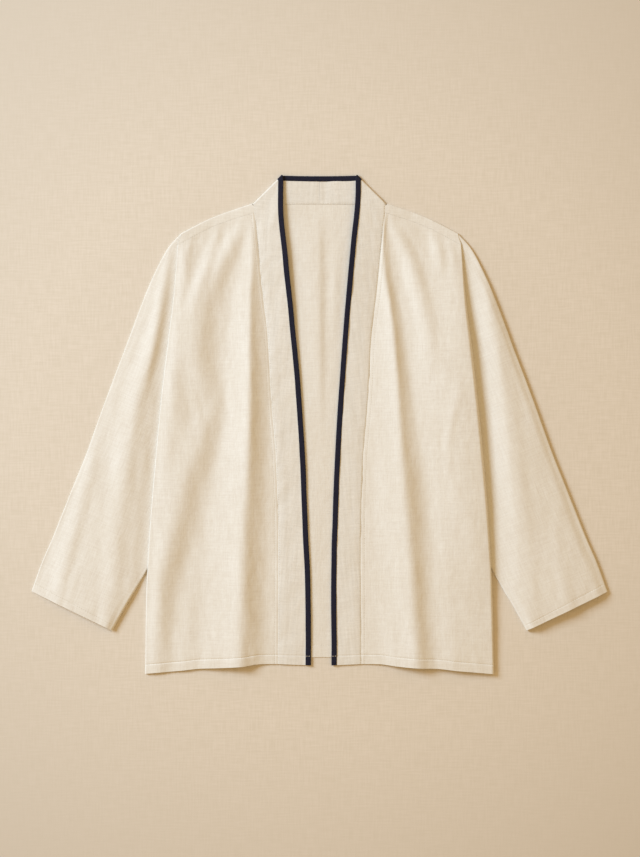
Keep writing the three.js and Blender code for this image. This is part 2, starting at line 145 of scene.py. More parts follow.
FRONT_FOLDS = {
    "left": [
        [(285, -108, 14, 14, 0.6), (239, -134, 26, 22, 3.0), (207, -150, 30, 26, 3.8),
         (175, -162, 30, 28, 4.2), (142, -168, 30, 30, 4.2), (111, -169, 30, 30, 3.8),
         (62, -164, 32, 30, 3.0), (27, -155, 34, 26, 2.8), (-9, -164, 34, 28, 3.4),
         (-43, -174, 34, 30, 4.0), (-80, -187, 34, 32, 4.2), (-136, -200, 30, 34, 4.2),
         (-179, -213, 26, 34, 4.0), (-236, -228, 22, 32, 3.2), (-356, -244, 18, 26, 2.0)],
        [(262, -190, 8, 7, 0.3), (247, -194, 9, 8, 1.2), (222, -198, 8, 8, 0.0)],
        [(268, -182, 10, 8, 0.4), (236, -190, 12, 9, 1.6), (180, -195, 10, 9, 0.0)],
        [(275, -142, 12, 10, 0.6), (230, -159, 16, 14, 2.2), (176, -177, 16, 16, 1.2),
         (140, -186, 14, 14, 0.0)],
        [(-190, -176, 20, 16, 0.0), (-260, -184, 26, 20, 1.4), (-356, -190, 28, 22, 2.2)],
    ],
    "right": [
        [(285, 103, 10, 12, 0.6), (246, 122, 18, 18, 3.2), (207, 135, 20, 20, 3.4),
         (168, 145, 20, 20, 2.8), (129, 153, 18, 18, 2.0), (62, 160, 18, 18, 0.0)],
        [(275, 160, 12, 10, 0.5), (246, 168, 14, 12, 1.9), (205, 173, 14, 12, 0.0)],
        [(262, 186, 10, 8, 0.4), (236, 190, 10, 8, 1.0), (205, 193, 10, 8, 0.0)],
        [(60, 196, 9, 8, 0.0), (20, 190, 9, 8, 1.1), (-37, 181, 9, 8, 1.1), (-74, 184, 9, 8, 0.9),
         (-108, 204, 8, 7, 0.7), (-151, 213, 8, 7, 0.0)],
        [(-90, 168, 20, 58, 0.0), (-200, 172, 24, 64, 2.8), (-280, 176, 26, 64, 4.0),
         (-356, 180, 28, 62, 4.4)],
    ],
}
SLEEVE_FOLDS = {
    "left": [
        [(245, -212, 12, 6, 1.8), (204, -216, 14, 8, 5.0), (170, -221, 18, 10, 6.0),
         (119, -231, 22, 12, 6.2), (62, -250, 28, 16, 5.6), (0, -265, 28, 18, 4.8),
         (-60, -274, 28, 20, 4.8), (-140, -284, 26, 22, 4.2), (-200, -290, 24, 22, 3.4),
         (-300, -300, 22, 20, 2.0)],
        [(-10, -316, 16, 12, 0.0), (-60, -324, 18, 13, 1.8), (-125, -340, 20, 14, 3.0),
         (-165, -351, 20, 14, 3.2), (-207, -362, 20, 14, 3.0), (-290, -378, 18, 14, 2.6)],
        [(-195, -343, 8, 8, 0.0), (-235, -352, 9, 9, 1.4), (-300, -362, 10, 10, 1.8)],
        [(120, -236, 5, 5, 0.0), (96, -229, 6, 5, 0.8), (70, -226, 5, 5, 0.0)],
        [(60, -246, 5, 5, 0.0), (30, -238, 6, 5, 0.9), (0, -233, 5, 5, 0.0)],
        [(-20, -252, 5, 5, 0.0), (-52, -246, 6, 6, 0.9), (-90, -243, 5, 5, 0.0)],
    ],
    "right": [
        [(245, 216, 8, 6, 0.3), (204, 228, 14, 9, 1.0), (150, 242, 20, 12, 1.6),
         (105, 252, 24, 15, 2.2), (77, 258, 26, 17, 2.6), (34, 266, 30, 20, 2.8),
         (-51, 278, 34, 22, 3.0), (-108, 286, 36, 23, 2.8), (-160, 291, 34, 24, 2.4),
         (-207, 295, 30, 24, 2.0), (-300, 304, 24, 22, 1.4)],
        [(-130, 330, 14, 12, 0.0), (-170, 337, 16, 13, 1.4), (-227, 347, 16, 14, 1.8),
         (-300, 358, 16, 14, 1.6)],
        [(-60, 300, 14, 12, 0.0), (-130, 312, 16, 12, 1.0), (-200, 322, 14, 12, 0.0)],
    ],
}
BACK_FOLDS = [
    [(300, -2, 34, 9, 0.0), (240, -1, 32, 10, 1.5), (119, 0, 28, 9, 1.6), (40, 1, 22, 8, 0.8),
     (-20, 2, 16, 8, 0.0)],
    [(260, 24, 10, 12, 0.0), (190, 22, 10, 12, 0.9), (110, 20, 9, 10, 0.0)],
]

# Powers of a pressed crest's two flanks: above 1 they are hollow.
PRESSED = {"left": 1.4, "right": 1.6}

# ---- Sewing ----
# Hems: how far the cloth is turned up, its step and over how far that rises, and the stitch groove.
HEM = {
    "front": {"up": 13.0, "step": 0.2, "over": 1.4, "groove": 0.45},
    "back": {"up": 17.0, "step": 0.2, "over": 1.5, "groove": 0.225},
    "cuff": {"up": 12.0, "step": 0.07, "over": 2.4, "groove": 0.225},
    "band": {"up": 13.0, "step": 0.12, "over": 1.4, "groove": 0.35},
}
GROOVE_HALF = 0.9
STITCH = {"length": 2.5, "pitch": 3.4, "radius": 0.17, "heavy": 0.36, "full": 0.3, "bulge": 0.05}
BAND_STITCH_OUT = 4.4
SHARP_FROM = math.radians(60)

# ---- Small rumples. Each row: height, size across, size along, where they gather ----
SEEDS = {
    "front": {"left": 20, "right": 40}, "sleeve": {"left": 60, "right": 80},
    "edge": {"left": 101, "right": 102}, "band": {"left": 110, "right": 120},
    "binding": {"left": 130, "right": 140},
}
FRONT_RUMPLES = [
    (0.55, 26, 110, None), (0.28, 13, 46, None), (0.10, 6, 15, None),
    (0.22, 40, 11, "seam"), (0.40, 8.5, 40, "hem"), (0.50, 9, 60, "shoulder"),
]
SLEEVE_RUMPLES = [(0.6, 24, 90, None), (0.3, 12, 34, None), (0.1, 6, 13, None), (0.35, 9, 11, "hem")]
BAND_RUMPLES = [
    (0.34, 32, 26, None), (0.16, 13, 14, None), (0.34, 8, 60, "seam"), (0.22, 7, 60, "binding"),
]


def mix(a, b, t):
    return a + (b - a) * t


def eased(t):
    """0 to 1, starting and ending softly."""
    t = np.clip(t, 0.0, 1.0)
    return t * t * (3 - 2 * t)


def smooth_line(rows):
    """A function through rows of key and value, smooth and without overshoot."""
    keys, values = np.array(sorted(row[:2] for row in rows), float).T
    secants = np.diff(values) / np.diff(keys)
    slopes = np.empty(len(keys))
    slopes[0], slopes[-1] = secants[0], secants[-1]
    same_way = secants[1:] * secants[:-1] > 0
    total = np.where(same_way, secants[1:] + secants[:-1], 1.0)
    slopes[1:-1] = np.where(same_way, 2 * secants[1:] * secants[:-1] / total, 0.0)

    def at(key):
        key = np.clip(key, keys[0], keys[-1])
        k = np.clip(np.searchsorted(keys, key, side="right") - 1, 0, len(keys) - 2)
        width = keys[k + 1] - keys[k]
        t = (key - keys[k]) / width
        rest = 1 - t
        ends = values[k] * (1 + 2 * t) * rest**2 + values[k + 1] * t * t * (3 - 2 * t)
        return ends + slopes[k] * width * t * rest**2 - slopes[k + 1] * width * t * t * rest

    return at


def stations(*runs):
    """Stations along a line, from runs of start, end and step laid end to end."""
    found = [np.linspace(a, b, max(1, round(abs(b - a) / step)), endpoint=False) for a, b, step in runs]
    return np.append(np.concatenate(found), runs[-1][1])


# Swells repeat after this many, and lie a little askew to the grain.
SWELLS = 67
SKEW = {"x": 0.21, "y": -0.13}


def swell(x, y, across, along, seed):
    """Uneven swells from -1 to 1, about this far apart across and along the cloth."""
    lattice = np.random.default_rng(seed).uniform(-1, 1, (SWELLS, SWELLS))
    u, v = (x + SKEW["x"] * y) / across, (y + SKEW["y"] * x) / along
    i, j = np.floor(u).astype(int), np.floor(v).astype(int)
    s, t = eased(u - i), eased(v - j)
    low = mix(lattice[i % SWELLS, j % SWELLS], lattice[(i + 1) % SWELLS, j % SWELLS], s)
    high = mix(lattice[i % SWELLS, (j + 1) % SWELLS], lattice[(i + 1) % SWELLS, (j + 1) % SWELLS], s)
    return mix(low, high, t)


def rumples(rows, x, y, seed, near):
    """Small swells added up. Those that gather somewhere are scaled by how near that is."""
    total = 0
    for number, (height, across, along, place) in enumerate(rows):
        total = total + height * swell(x, y, across, along, seed + number) * near.get(place, 1)
    return total


def fading(distance, reach):
    """1 where distance is 0, fading to both sides."""
    return np.exp(-np.abs(distance) / reach)


def bump_at(distance, half):
    """A soft line 1 high where distance is 0."""
    return np.exp(-((distance / half) ** 2))


def hem_step(piece, from_edge):
    hem = HEM[piece]
    return hem["step"] * eased((hem["up"] - from_edge) / hem["over"])


def hem_groove(piece, from_edge):
    hem = HEM[piece]
    return -hem["groove"] * bump_at(from_edge - hem["up"], GROOVE_HALF)


def half_turn(steps):
    """Angles round a half circle, without the first."""
    return np.linspace(0, math.pi, steps + 1)[1:]


def run_along(line):
    """How far along a line each of its points lies."""
    return np.append(0, np.cumsum(np.linalg.norm(np.diff(line, axis=0), axis=1)))


def folds(rows_of_folds, x, y, pressed=False):
    """Ridges, round on both sides. A pressed one is steepest just beside its crest."""
    height = np.zeros(np.broadcast(x, y).shape)
    for rows in rows_of_folds:
        crest, reach_left, reach_right, high = (
            smooth_line([(row[0], row[k]) for row in rows])(y) for k in (1, 2, 3, 4)
        )
        off = x - crest
        left, right = np.clip(1 + off / reach_left, 0, 1), np.clip(1 - off / reach_right, 0, 1)
        if pressed:
            profile = np.where(off < 0, left ** PRESSED["left"], right ** PRESSED["right"])
        else:
            profile = eased(np.where(off < 0, left, right))
        height = height + high * profile
    return height


def softened(heights, times):
    """Heights on a grid, their creases rounded along the columns and the rows."""
    for _ in range(times):
        padded = np.pad(heights, ((0, 0), (1, 1)), mode="edge")
        heights = (padded[:, :-2] + 2 * heights + padded[:, 2:]) / 4
        padded = np.pad(heights, ((1, 1), (0, 0)), mode="edge")
        heights = (padded[:-2] + 2 * heights + padded[2:]) / 4
    return heights


# ---- Where the pieces run ----
side_edge = smooth_line(SIDE_EDGE)
back_edge = smooth_line(BACK_EDGE)
front_hem = smooth_line(FRONT_HEM)
band_seam = smooth_line(BAND_SEAM)
shoulder_line = smooth_line(SHOULDER_LINE)
tuck_rest = smooth_line(TUCK)
seam_lift = smooth_line(BAND_SEAM_LIFT)
edge_lift = smooth_line(BAND_EDGE_LIFT)


def neck_seam(x):
    return NECK_SEAM - NECK_SEAM_DIP * (x / SHOULDER_START) ** 2


def side_rise(side, x, y):
    """How far a front rises towards its own side edge, before it falls to the fold there."""
    tuck = side_edge(y) - back_edge(y)
    inward = (side_edge(y) - x - tuck / 2) / (SIDE_SLOPE[side] + tuck / 2)
    top = smooth_line(SIDE_LIFT[side])(y)
    share, over = SIDE_FALL[side]
    fall = share * np.maximum(top - tuck_rest(y) - SIDE_FOLD_KEPT, 0)
    near_edge = np.clip(1 - (side_edge(y) - x) / over, 0, 1) ** 2
    return (top - FRONT_REST) * (1 - eased(inward)) - fall * near_edge


def front_height(side, x, y):
    """Height of the middle of a front's cloth, in big shapes only."""
    neck = seam_lift(y) - seam_lift(BAND_HEM)
    beside_neck = neck * (1 - eased((x - band_seam(y)) / NECK_SLOPE))
    lift = np.maximum(side_rise(side, x, y), beside_neck)
    real_x = SIDES[side] * x
    ridges = folds(FRONT_FOLDS[side], real_x, y)
    ridges = ridges + folds([FRONT_CRESTS[side]], real_x, y, pressed=True)
    grown = eased((shoulder_line(x) - y) / FOLDS_GROW)
    at_side = eased((side_edge(y) - x) / FOLDS_AT_SIDE["over"])
    return FRONT_REST + lift + grown * ridges * mix(FOLDS_AT_SIDE["share"], 1, at_side)


def shoulder_roll(side, x):
    seam = shoulder_line(x) - SHOULDER_TURN
    return (front_height(side, x, seam) - BACK_REST) / 2


def shoulder_fold(side, x):
    return shoulder_line(x) - shoulder_roll(side, x) - CLOTH / 2


def shoulder_seam(side, x):
    return shoulder_fold(side, x) - SHOULDER_TURN


# ---- Cloth ----
def unit(vectors):
    return vectors / np.maximum(np.linalg.norm(vectors, axis=-1, keepdims=True), 1e-9)


def facing(grid):
    """The direction in which the cloth faces at each point of its grid."""
    down = np.gradient(grid, axis=0)
    along = np.gradient(grid, axis=1)
    return unit(np.cross(down, along))


def new_piece(name, points, faces, material):
    mesh = bpy.data.meshes.new(name)
    mesh.from_pydata((np.asarray(points) * MM).tolist(), [], faces)
    mesh.shade_smooth()
    mesh.materials.append(material)
    piece = bpy.data.objects.new(name, mesh)
    bpy.context.scene.collection.objects.link(piece)
    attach(piece, "root")
    return piece


def open_edges(quads):
    """The edges that only one face uses, each in that face's own direction."""
    starts = quads.ravel()
    ends = np.roll(quads, -1, axis=1).ravel()
    low, high = np.minimum(starts, ends), np.maximum(starts, ends)
    keys = low * (quads.max() + 1) + high
    _, first, uses = np.unique(keys, return_index=True, return_counts=True)
    alone = first[uses == 1]
    return starts[alone], ends[alone]


def cloth(name, grid, wall, material, covered=None):
    """A closed wall of cloth around a grid of middle points. Cells not covered stay open."""
    rows, columns = grid.shape[:2]
    count = rows * columns
    number = np.arange(count).reshape(rows, columns)
    corners = (number[:-1, :-1], number[1:, :-1], number[1:, 1:], number[:-1, 1:])
    quads = np.stack([c.ravel() for c in corners], axis=1)
    if covered is not None:
        quads = quads[covered.ravel()]
    normals = facing(grid).reshape(count, 3)
    middle = grid.reshape(count, 3)
    points = np.concatenate([middle + normals * wall / 2, middle - normals * wall / 2])
    starts, ends = open_edges(quads)
    rim = np.stack([ends, starts, starts + count, ends + count], axis=1)
    faces = np.concatenate([quads, quads[:, ::-1] + count, rim])
    used, new_number = np.unique(faces, return_inverse=True)
    piece = new_piece(name, points[used], new_number.reshape(-1, 4).tolist(), material)
    piece.data.set_sharp_from_angle(angle=SHARP_FROM)
    return piece


def on_top(grid, wall, row=slice(None), column=slice(None)):
    """The line of a row or column of the grid, on the upper face of its cloth."""
    normals = facing(grid)
    upward = np.where(normals[..., 2:] < 0, -1, 1)
    return (grid + normals * upward * wall / 2)[row, column]


def stitch_points(centre, way, radius):
    """One stitch along its way: a point, two square rings and a point."""
    across = unit(np.cross(way, (0, 0, 1)))
    up = np.cross(across, way)
    ring = radius * np.array([across, up, -across, -up])
    tip = way * STITCH["length"] / 2
    body = way * STITCH["length"] * STITCH["full"]
    high, low = centre + up * STITCH["bulge"], centre - up * STITCH["bulge"]
    return [low - tip, *(high - body + ring), *(high + body + ring), low + tip]


def stitch_faces(first):
    """The faces of the stitch whose points start at this number."""
    near, far, last = first + 1, first + 5, first + 9
    found = []
    for k, n in ((0, 1), (1, 2), (2, 3), (3, 0)):
        found.append((first, near + k, near + n))
        found.append((near + k, far + k, far + n, near + n))
        found.append((last, far + n, far + k))
    return found


def stitches(name, lines, material, radius=STITCH["radius"]):
    """Rows of short lockstitches lying along lines on the cloth, as one piece."""
    points, faces = [], []
    for line in lines:
        reach = run_along(line)
        centres = np.arange(STITCH["pitch"] / 2, reach[-1], STITCH["pitch"])
        at, ahead, behind = (
            np.stack([np.interp(centres + step, reach, line[:, k]) for k in range(3)], axis=1)
            for step in (0, 0.5, -0.5)
        )
        for centre, way in zip(at, unit(ahead - behind)):
            faces.extend(stitch_faces(len(points)))
            points.extend(stitch_points(centre, way, radius))
    piece = new_piece(name, points, faces, material)
    return piece


# ---- Materials ----
def linear(hex_colour):
    """An sRGB hex colour as the linear colour that shaders take."""
    parts = [int(hex_colour[k : k + 2], 16) / 255 for k in (1, 3, 5)]
    return (*[c / 12.92 if c <= 0.04045 else ((c + 0.055) / 1.055) ** 2.4 for c in parts], 1.0)


def node(tree, kind, inputs=None, **settings):
    """Adds a node with its settings. An input is a constant, or an output to link."""
    made = tree.nodes.new(kind)
    for key, value in settings.items():
        setattr(made, key, value)
    for key, value in (inputs or {}).items():
        if isinstance(value, bpy.types.NodeSocket):
            tree.links.new(value, made.inputs[key])
        else:
            made.inputs[key].default_value = value
    return made


def new_material(name, grain_degrees=0):
    """An empty material, its nodes, and the place of each point, measured along its threads."""
    material = bpy.data.materials.new(name)
    material.use_nodes = True
    tree = material.node_tree
    tree.nodes.clear()
    spot = node(tree, "ShaderNodeTexCoord").outputs["Object"]
    turn = (0, 0, math.radians(grain_degrees))
    turned = node(tree, "ShaderNodeMapping", {"Vector": spot, "Rotation": turn})
    return material, tree, turned.outputs["Vector"]


def unevenness(tree, place, sizes_mm, detail):
    """Uneven blotches of these sizes along the cloth's own X, Y and Z, from 0 to 1."""
    scale = [1 / (size * MM) for size in sizes_mm]
    scaled = node(tree, "ShaderNodeMapping", {"Vector": place, "Scale": scale})
    noise = node(tree, "ShaderNodeTexNoise", {
        "Vector": scaled.outputs["Vector"], "Scale": 1.0, "Detail": detail, "Roughness": 0.5,
    })
    return noise.outputs["Fac"]


def crossed_threads(tree, place, weft, warp, detail=1.0):
    """Thick and thin threads that cross each other, as one height from 0 to 1."""
    lengthwise = unevenness(tree, place, (weft["length"], weft["pitch"], weft["depth"]), detail)
    crosswise = unevenness(tree, place, (warp["pitch"], warp["length"], warp["depth"]), detail)
    both = node(tree, "ShaderNodeMix", {"Factor": 0.5, "A": lengthwise, "B": crosswise})
    return both.outputs["Result"]


def dyed(tree, pattern, ends, first, second, shares=(0.0, 1.0)):
    """The first colour going over to the second as the pattern goes from end to end."""
    share = node(tree, "ShaderNodeMapRange", {
        "Value": pattern, "From Min": ends[0], "From Max": ends[1],
        "To Min": shares[0], "To Max": shares[1],
    })
    colour = node(tree, "ShaderNodeMix", {
        "Factor": share.outputs["Result"], "A": first, "B": second,
    }, data_type="RGBA")
    return colour.outputs["Result"]


def finished(material, tree, look):
    """Gives the material its surface, from a table of that surface's settings."""
    surface = node(tree, "ShaderNodeBsdfPrincipled", look)
    node(tree, "ShaderNodeOutputMaterial", {"Surface": surface.outputs["BSDF"]})
    return material


# Slub linen and cotton, plain woven and washed: the eye gets a matte ivory cloth, faintly barred
# by thick and thin threads both ways, with a rare brown fleck of flax.
# The real threads are about 0.5 mm apart. So that they show, the fine ones are drawn at 0.9 mm
# and the slubs at 1.9 mm, or at 3.2 mm down the band.
SLUB = {"length": 24, "pitch": 1.9, "depth": 40}
BAND_SLUB = {"length": 80, "pitch": 3.2, "depth": 40}
FINE = {"length": 5, "pitch": 0.9, "depth": 40}
FINE_SHARE = 0.35
CLOUD = (85, 85, 85)
RUMPLE = (17, 27.2, 17)
RELIEF = {"rumple": 1.6, "weave": 0.6}
FLECK_CELL = 62
FLECK_RADIUS = 0.8
FLECK_SHARE = 0.75
BODY_THREADS = ("#e2dcd2", "#eeebe3")
BAND_THREADS = ("#ddd9d1", "#eeebe4")
AGED = {"colour": "#e1d9c8", "share": 0.16}
FLAX = "#8f7350"


def slub_linen(name, grain_degrees, threads=BODY_THREADS, warp_slub=SLUB):
    material, tree, place = new_material(name, grain_degrees)
    slubs = crossed_threads(tree, place, SLUB, warp_slub)
    fine = crossed_threads(tree, place, FINE, FINE, detail=0.0)
    both = node(tree, "ShaderNodeMix", {"Factor": FINE_SHARE, "A": slubs, "B": fine})
    weave = both.outputs["Result"]
    woven = dyed(tree, weave, (0.34, 0.66), linear(threads[0]), linear(threads[1]))

    cloud = unevenness(tree, place, CLOUD, 2.0)
    aged = dyed(tree, cloud, (0.3, 0.7), woven, linear(AGED["colour"]), (0.0, AGED["share"]))
    cells = node(tree, "ShaderNodeTexVoronoi", {
        "Vector": place, "Scale": 1 / (FLECK_CELL * MM), "Randomness": 1.0,
    })
    rim = FLECK_RADIUS / FLECK_CELL
    flecked = dyed(tree, cells.outputs["Distance"], (rim / 2, rim), aged, linear(FLAX),
                   (FLECK_SHARE, 0.0))

    rumple = unevenness(tree, place, RUMPLE, 3.0)
    rumpled = node(tree, "ShaderNodeBump", {
        "Height": rumple, "Strength": 0.45, "Distance": RELIEF["rumple"] * MM,
    })
    raised = node(tree, "ShaderNodeBump", {
        "Height": weave, "Strength": 0.4, "Distance": RELIEF["weave"] * MM,
        "Normal": rumpled.outputs["Normal"],
    })
    return finished(material, tree, {
        "Base Color": flecked, "Roughness": 0.93, "Specular IOR Level": 0.25, "IOR": 1.5,
        "Sheen Weight": 0.12, "Sheen Roughness": 0.6, "Normal": raised.outputs["Normal"],
    })


# Cotton bias tape, plain woven and dyed: nearly black navy, its threads slanting across the strip.
# The real threads are about 0.3 mm apart; they are drawn at 0.8 mm so that they show.
TAPE_THREAD = {"length": 4, "pitch": 0.8, "depth": 3}
TAPE_SLANT = 45
TAPE_RELIEF = 0.5
NAVY = ("#0e0e20", "#1a1a33")


def navy_cotton():
    material, tree, place = new_material("navy cotton bias tape", TAPE_SLANT)
    weave = crossed_threads(tree, place, TAPE_THREAD, TAPE_THREAD)
    colour = dyed(tree, weave, (0.38, 0.64), linear(NAVY[0]), linear(NAVY[1]))
    raised = node(tree, "ShaderNodeBump", {
        "Height": weave, "Strength": 0.6, "Distance": TAPE_RELIEF * MM,
    })
    return finished(material, tree, {
        "Base Color": colour, "Roughness": 0.85, "Specular IOR Level": 0.3, "IOR": 1.5,
        "Sheen Weight": 0.1, "Sheen Roughness": 0.5, "Normal": raised.outputs["Normal"],
    })


# Spun polyester sewing thread: smooth, a little brighter than the cloth that it holds.
THREAD_PLY = (0.7, 0.7, 0.7)


def sewing_thread(name, light, dark):
    material, tree, place = new_material(name)
    ply = unevenness(tree, place, THREAD_PLY, 1.0)
    colour = dyed(tree, ply, (0.35, 0.65), linear(dark), linear(light))
    return finished(material, tree, {
        "Base Color": colour, "Roughness": 0.6, "Specular IOR Level": 0.35, "IOR": 1.5,
    })


# Plain cotton ground cloth, stretched flat: dull and warm, faintly barred by its threads, with
# painted shade that darkens it towards its far corners. The threads are drawn at 2.2 mm so that they
# show.
GROUND_THREAD = {"length": 26, "pitch": 2.2, "depth": 40}
# Painted shade: the span from the middle over which it darkens the ground, and below, its darkest colour.
GROUND_SHADE_SPAN = (420, 820)
GROUND = ("#ded4c4", "#e6dcce")
GROUND_PAINTED_SHADE = "#d2c8b9"


def ground_cotton():
    material, tree, place = new_material("plain cotton ground cloth")
    weave = crossed_threads(tree, place, GROUND_THREAD, GROUND_THREAD)
    woven = dyed(tree, weave, (0.35, 0.65), linear(GROUND[0]), linear(GROUND[1]))
    # Painted shade: farther from the middle, the colour goes over to a darker one.
    reach = node(tree, "ShaderNodeVectorMath", {0: place}, operation="LENGTH").outputs["Value"]
    painted_shade_span = [distance * MM for distance in GROUND_SHADE_SPAN]
    colour = dyed(tree, reach, painted_shade_span, woven, linear(GROUND_PAINTED_SHADE))
    return finished(material, tree, {
        "Base Color": colour, "Roughness": 0.95, "Specular IOR Level": 0.15,
    })


# ---- Back panel: flat, with both shoulders turned over to the front ----
BACK_HEM_KEPT = 19
BACK_RISES = stations(
    (0, 1.2, 0.6), (1.2, 15, 2.8), (15, BACK_HEM_KEPT, 0.5), (BACK_HEM_KEPT, 640, 5),
)
BACK_HALF = np.append(
    stations((0, NECK_CORNER, 3.2)), stations((SHOULDER_START, SHOULDER_END, 2.5)),
)
STRIP_DOWN = stations((0, SHOULDER_TURN, 1.5))[1:]
TOP_STRAIGHTENS = 60
BACK_RUMPLE = {"height": 0.25, "across": 30, "along": 60, "seed": 3, "ends": 90, "over": 60}
# The strip over the shoulder stands a little proud of the front, except at its seam.
STRIP_RISE = {"height": 0.12, "over": 3, "seam_half": 1.2}


def up_the_back(side, x_top, top):
    """One line of the back, from the hem up to the neck seam or the shoulder fold."""
    even = BACK_HEM + BACK_RISES / BACK_RISES[-1] * (top - BACK_HEM)
    y = np.where(BACK_RISES < BACK_HEM_KEPT, BACK_HEM + BACK_RISES, even)
    x = x_top / SHOULDER_END * (back_edge(y) - SEAM_GAP / 2)
    x = mix(x, x_top, eased((y - top + TOP_STRAIGHTENS) / TOP_STRAIGHTENS))
    real_x = SIDES[side] * x
    z = BACK_REST + folds(BACK_FOLDS, real_x, y) * (x_top < NECK_CORNER)
    z = z + hem_step("back", BACK_RISES) + hem_groove("back", BACK_RISES)
    rumple = swell(real_x, y, BACK_RUMPLE["across"], BACK_RUMPLE["along"], BACK_RUMPLE["seed"])
    in_opening = eased((BACK_RUMPLE["ends"] - x_top) / BACK_RUMPLE["over"])
    z = z + BACK_RUMPLE["height"] * rumple * in_opening
    return np.stack([real_x, y, np.maximum(z, CLOTH / 2 + LOWEST)], axis=1)


def over_the_shoulder(side, x_top, top):
    """The same line's way round the shoulder fold and down to the shoulder seam."""
    x = max(x_top, SHOULDER_START)
    radius = shoulder_roll(side, x)
    angle = half_turn(10)
    roll = np.stack([
        np.full(len(angle), SIDES[side] * x), top + radius * np.sin(angle),
        BACK_REST + radius * (1 - np.cos(angle)),
    ], axis=1)
    along = (x - SHOULDER_START) / (SHOULDER_END - SHOULDER_START)
    near_band = band_seam(top - STRIP_DOWN) + BAND_GAP / 2
    near_sleeve = SHOULDER_END + STRIP_WIDENS * eased(STRIP_DOWN / SHOULDER_TURN)
    strip_x = mix(near_band, near_sleeve, along)
    strip_y = shoulder_fold(side, strip_x) - STRIP_DOWN
    rise = eased(STRIP_DOWN / STRIP_RISE["over"])
    rise = rise - bump_at(STRIP_DOWN - SHOULDER_TURN, STRIP_RISE["seam_half"])
    strip_z = front_height(side, strip_x, strip_y) + STRIP_RISE["height"] * rise
    return np.concatenate([roll, np.stack([SIDES[side] * strip_x, strip_y, strip_z], axis=1)])


def back_panel(linen):
    signed = np.concatenate([-BACK_HALF[:0:-1], BACK_HALF])
    lines = []
    for x in signed:
        side = "left" if x < 0 else "right"
        x_top = abs(x)
        top = neck_seam(x_top) if x_top <= NECK_CORNER else shoulder_fold(side, x_top)
        lines.append(np.concatenate([up_the_back(side, x_top, top), over_the_shoulder(side, x_top, top)]))
    grid = np.stack(lines)
    cell_x = np.abs(signed[:-1] + signed[1:])[:, None] / 2
    cell_row = np.arange(grid.shape[1] - 1)[None, :]
    covered = (cell_row < len(BACK_RISES) - 1) | (cell_x > (NECK_CORNER + SHOULDER_START) / 2)
    return cloth("back_cloth", grid, CLOTH, linen, covered), grid


# ---- Front panels ----
FRONT_FINE = 12.0
FRONT_GAPS = stations((0, 3.2, 0.8), (3.2, FRONT_FINE, 1.8), (FRONT_FINE, 182, 2.5))
FRONT_RISES = stations((0, 1.2, 0.6), (1.2, 11.2, 2.5), (11.2, 14.8, 0.45), (14.8, 645, 2.6))
HEM_KEPT = 15.0
TOP_ROUNDS = 4
SIDE_ROLL_STEPS = 12
TUCK_SHARES = np.linspace(0, 1, 6)[1:]
# Rounds of softening at the top and at the hem, and where they change over.
SOFT = {"top": 3, "hem": 9, "from_y": 110, "over": 330, "below_seam": 14}
PUCKERS = {"seam": 9, "hem": 9, "shoulder": 18}
RUMPLES_GROW = {"shoulder": 9, "seam": 7, "seam_share": 0.12}
# Grooves and ridges beside the band: height, distance from its seam, half width.
BESIDE_BAND = [(-0.25, BAND_STITCH_OUT, 0.9), (-0.2, 0, 1.2), (0.08, 2.6, 1.5)]
FRONT_SINKS = 0.55
FRONT_HEM_COLUMNS = slice(0, len(FRONT_GAPS) + 3)


def across_front(side, y):
    """X from the centre along rows of Y: close stations beside the band, then even ones."""
    edge_y = y[:, -1:]
    edge_height = front_height(side, side_edge(edge_y), edge_y)
    radius = (edge_height - tuck_rest(edge_y)) / 2
    last = side_edge(y) - radius - CLOTH / 2
    start = band_seam(y) + BAND_GAP / 2
    beyond = (FRONT_GAPS - FRONT_FINE) / (FRONT_GAPS[-1] - FRONT_FINE)
    return np.where(FRONT_GAPS < FRONT_FINE, start + FRONT_GAPS, mix(start + FRONT_FINE, last, beyond))


def front_fields(side):
    """X from the centre and Y of every point of a front's open part."""
    share = FRONT_GAPS / FRONT_GAPS[-1]
    top_x = mix(band_seam(FRONT_CORNERS["band_top"]), side_edge(FRONT_CORNERS["side_top"]), share)
    for _ in range(TOP_ROUNDS):
        top = shoulder_seam(side, top_x) - LAYER_GAP
        top_x = across_front(side, top[None, :])[0]
    hem_x = mix(band_seam(FRONT_CORNERS["band_hem"]), side_edge(FRONT_CORNERS["side_hem"]), share)
    hem = front_hem(hem_x)
    rise = FRONT_RISES[:, None]
    stretched = mix(hem + HEM_KEPT, top, (rise - HEM_KEPT) / (FRONT_RISES[-1] - HEM_KEPT))
    y = np.where(rise < HEM_KEPT, hem + rise, stretched)
    return across_front(side, y), y


def front_detail(side, x, y, z):
    """Small shapes sewn and washed into a front: ripples, puckers, hem and seam grooves."""
    gap, rise = FRONT_GAPS[None, :], FRONT_RISES[:, None]
    from_top = FRONT_RISES[-1] - rise
    near = {
        "seam": fading(gap, PUCKERS["seam"]),
        "hem": fading(rise - HEM["front"]["up"], PUCKERS["hem"]),
        "shoulder": fading(from_top, PUCKERS["shoulder"]),
    }
    ripple = rumples(FRONT_RUMPLES, SIDES[side] * x, y, SEEDS["front"][side], near)
    ripple = ripple * eased(from_top / RUMPLES_GROW["shoulder"])
    z = z + ripple * mix(RUMPLES_GROW["seam_share"], 1, eased(gap / RUMPLES_GROW["seam"]))
    z = z + hem_step("front", rise) + hem_groove("front", rise)
    for height, distance, half in BESIDE_BAND:
        z = z + height * bump_at(gap - distance, half)
    return np.maximum(z, FRONT_REST - FRONT_SINKS)


